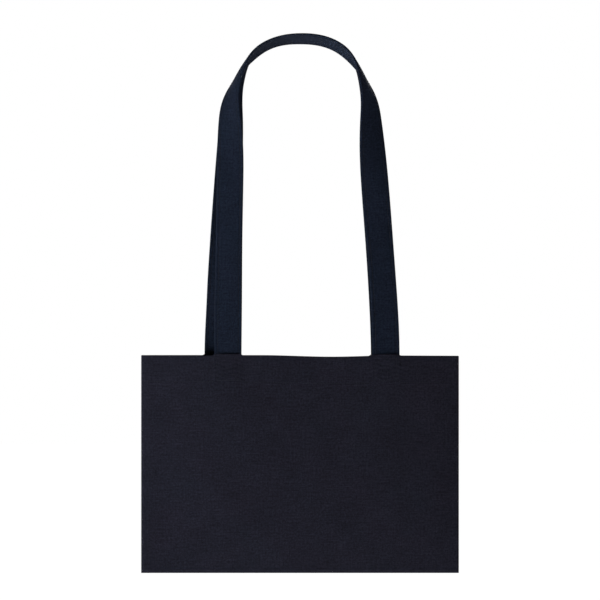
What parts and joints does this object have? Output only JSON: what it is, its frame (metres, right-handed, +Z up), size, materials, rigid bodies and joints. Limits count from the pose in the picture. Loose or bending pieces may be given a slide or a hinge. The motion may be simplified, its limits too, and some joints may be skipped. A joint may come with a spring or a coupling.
{
  "type": "canvas tote bag",
  "caption": "Flat canvas tote bag with a turned hem, seams inside, and long strap handles that are sewn in with boxed crosses and held up in twisted arches.",
  "frame": {"origin": "the place under the tops of the two handles where a hook or a hand holds the bag", "axes": "+Z up, +X to the right of someone facing the front of the bag, +Y from the front panel to the rear panel"},
  "size_m": [0.38, 0.0686, 0.6448],
  "materials": {
    "canvas": "near-black navy cotton canvas in plain weave, matt, a little mottled",
    "strap": "navy cotton strap in a dense weave, matt with a slight sheen",
    "thread": "black-navy spun polyester sewing thread, slight sheen",
    "overlock_thread": "black-navy overlock thread, fluffy"
  },
  "bodies": {
    "bag": {"front_panel": "canvas", "front_hem": "canvas", "front_hem_stitch": "thread", "rear_panel": "canvas", "rear_hem": "canvas", "rear_hem_stitch": "thread", "front_left_strap_end": "strap", "front_right_strap_end": "strap", "rear_left_strap_end": "strap", "rear_right_strap_end": "strap", "front_left_box_stitch": "thread", "front_right_box_stitch": "thread", "rear_left_box_stitch": "thread", "rear_right_box_stitch": "thread", "left_seam_allowance": "canvas", "left_seam_overlock": "overlock_thread", "right_seam_allowance": "canvas", "right_seam_overlock": "overlock_thread", "bottom_seam_allowance": "canvas", "bottom_seam_overlock": "overlock_thread"},
    "front_loop": {"front_handle": "strap", "front_handle_inner_topstitch": "thread", "front_handle_outer_topstitch": "thread"},
    "rear_loop": {"rear_handle": "strap", "rear_handle_inner_topstitch": "thread", "rear_handle_outer_topstitch": "thread"}
  },
  "joints": [
    {"name": "front_handle_flop", "type": "hinge", "parent": "bag", "child": "front_loop", "pos_m": [0, -0.0175, -0.3715], "axis": [1, 0, 0], "range_deg": [0, 175]},
    {"name": "rear_handle_flop", "type": "hinge", "parent": "bag", "child": "rear_loop", "pos_m": [0, 0.0175, -0.3715], "axis": [-1, 0, 0], "range_deg": [0, 175]}
  ]
}
